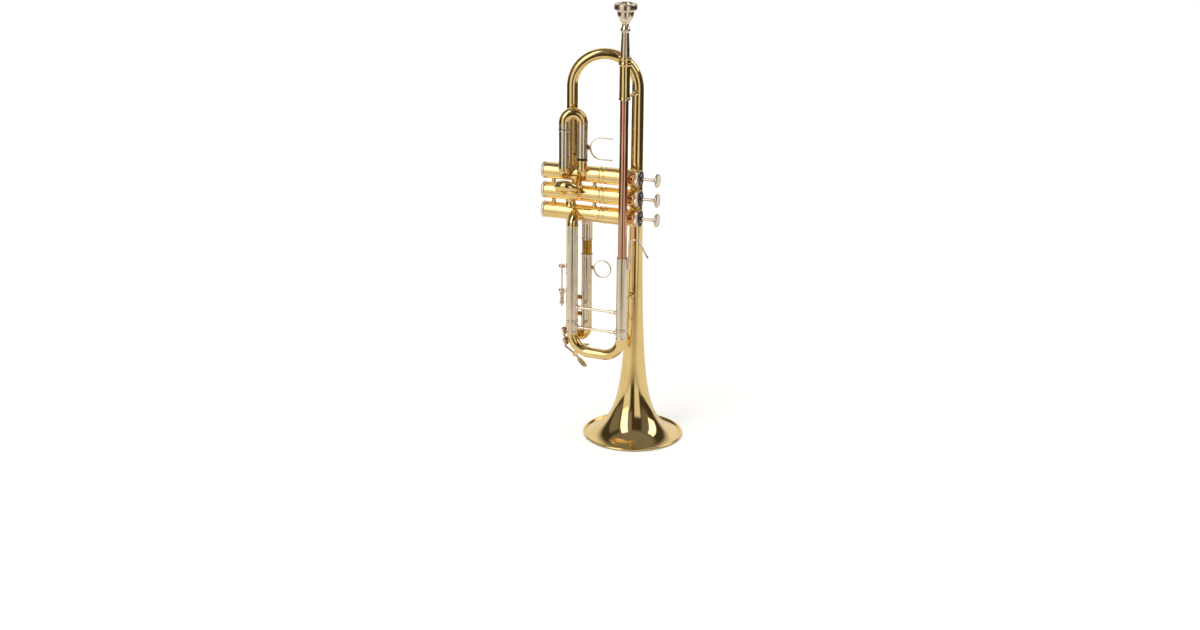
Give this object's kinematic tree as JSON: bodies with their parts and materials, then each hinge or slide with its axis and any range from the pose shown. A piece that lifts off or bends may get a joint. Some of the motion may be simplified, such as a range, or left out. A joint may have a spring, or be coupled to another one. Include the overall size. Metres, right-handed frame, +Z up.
{
  "type": "trumpet",
  "caption": "Piston trumpet standing on its bell, with three valves, pull-out slides, water keys and a removable mouthpiece.",
  "frame": {"origin": "centre of the bell's rim plane, on the bell's axis", "axes": "+Z up the bell's axis towards the mouthpiece, +X towards the finger buttons, -Y the player's right-hand side"},
  "size_m": [0.1727, 0.123, 0.544],
  "materials": {
    "lacquered_brass": "clear-lacquered polished yellow brass",
    "rose_brass": "clear-lacquered polished rose brass",
    "nickel_silver": "polished nickel silver, bare",
    "silver_plate": "polished silver plate",
    "piston_alloy": "lapped nickel alloy",
    "spring_steel": "drawn spring wire",
    "black_washer": "black synthetic felt",
    "pearl": "mother-of-pearl disc",
    "cork": "natural cork pad"
  },
  "bodies": {
    "horn": {"bell": "lacquered_brass", "bell_rim": "lacquered_brass", "bell_bow": "lacquered_brass", "bell_ferrule": "lacquered_brass", "bell_braces": "lacquered_brass", "mouthpiece_receiver": "lacquered_brass", "leadpipe": "rose_brass", "upper_slide_tube": "nickel_silver", "lower_slide_tube": "nickel_silver", "inlet_elbow": "lacquered_brass", "tube_brace": "nickel_silver", "finger_hook": "silver_plate", "valve_casing_1": "lacquered_brass", "valve_casing_2": "lacquered_brass", "valve_casing_3": "lacquered_brass", "casing_spacers": "lacquered_brass", "intervalve_tubes": "lacquered_brass", "bottom_caps": "silver_plate", "top_caps": "silver_plate", "cap_washers": "black_washer", "valve_guides": "lacquered_brass", "valve_spring_1": "spring_steel", "valve_spring_2": "spring_steel", "valve_spring_3": "spring_steel", "first_slide_sockets": "nickel_silver", "second_slide_sockets": "lacquered_brass", "third_slide_sockets": "nickel_silver", "third_stop_rod": "silver_plate", "third_stop_nuts": "nickel_silver"},
    "mouthpiece": {"mouthpiece": "silver_plate"},
    "valve_1": {"piston_1": "piston_alloy", "valve_stem_1": "silver_plate", "finger_button_1": "silver_plate", "button_pearl_1": "pearl"},
    "valve_2": {"piston_2": "piston_alloy", "valve_stem_2": "silver_plate", "finger_button_2": "silver_plate", "button_pearl_2": "pearl"},
    "valve_3": {"piston_3": "piston_alloy", "valve_stem_3": "silver_plate", "finger_button_3": "silver_plate", "button_pearl_3": "pearl"},
    "tuning_slide": {"tuning_slide_tubes": "nickel_silver", "tuning_crook": "lacquered_brass", "tuning_slide_brace": "nickel_silver", "water_key_saddle": "silver_plate", "water_key_spring": "silver_plate"},
    "water_key": {"water_key_lever": "silver_plate", "water_key_cork": "cork"},
    "first_slide": {"first_slide_tubes": "nickel_silver", "first_slide_crook": "lacquered_brass", "thumb_saddle": "silver_plate"},
    "second_slide": {"second_slide": "lacquered_brass"},
    "third_slide": {"third_slide_tubes": "nickel_silver", "third_slide_crook": "lacquered_brass", "third_slide_braces": "lacquered_brass", "finger_ring": "silver_plate", "third_key_saddle": "silver_plate"},
    "third_water_key": {"third_key_lever": "silver_plate", "third_key_cork": "cork"}
  },
  "joints": [
    {"name": "mouthpiece_pull", "type": "slide", "parent": "horn", "child": "mouthpiece", "axis": [0, 0, 1], "range_m": [0, 0.03]},
    {"name": "valve_1_press", "type": "slide", "parent": "horn", "child": "valve_1", "axis": [-1, 0, 0], "range_m": [0, 0.0163], "stiffness_N_per_m": 100, "springref_m": -0.02, "deforming": ["valve_spring_1"]},
    {"name": "valve_2_press", "type": "slide", "parent": "horn", "child": "valve_2", "axis": [-1, 0, 0], "range_m": [0, 0.0163], "stiffness_N_per_m": 100, "springref_m": -0.02, "deforming": ["valve_spring_2"]},
    {"name": "valve_3_press", "type": "slide", "parent": "horn", "child": "valve_3", "axis": [-1, 0, 0], "range_m": [0, 0.0163], "stiffness_N_per_m": 100, "springref_m": -0.02, "deforming": ["valve_spring_3"]},
    {"name": "tuning_slide_pull", "type": "slide", "parent": "horn", "child": "tuning_slide", "axis": [0, 0, -1], "range_m": [0, 0.045]},
    {"name": "water_key_press", "type": "hinge", "parent": "tuning_slide", "child": "water_key", "pos_m": [-0.06233, -0.03912, 0.1093], "axis": [0, -1, 0], "range_deg": [0, 15], "stiffness_Nm_per_rad": 0.1, "springref_deg": -28.65},
    {"name": "first_slide_pull", "type": "slide", "parent": "horn", "child": "first_slide", "axis": [0, 0, 1], "range_m": [0, 0.025]},
    {"name": "second_slide_pull", "type": "slide", "parent": "horn", "child": "second_slide", "axis": [0, -0.8829, 0.4695], "range_m": [0, 0.015]},
    {"name": "third_slide_pull", "type": "slide", "parent": "horn", "child": "third_slide", "axis": [0, 0, -1], "range_m": [-0.0175, 0]},
    {"name": "third_water_key_press", "type": "hinge", "parent": "third_slide", "child": "third_water_key", "pos_m": [-0.0768, -0.021, 0.1209], "axis": [0, -1, 0], "range_deg": [0, 12], "stiffness_Nm_per_rad": 0.1, "springref_deg": -28.65}
  ]
}
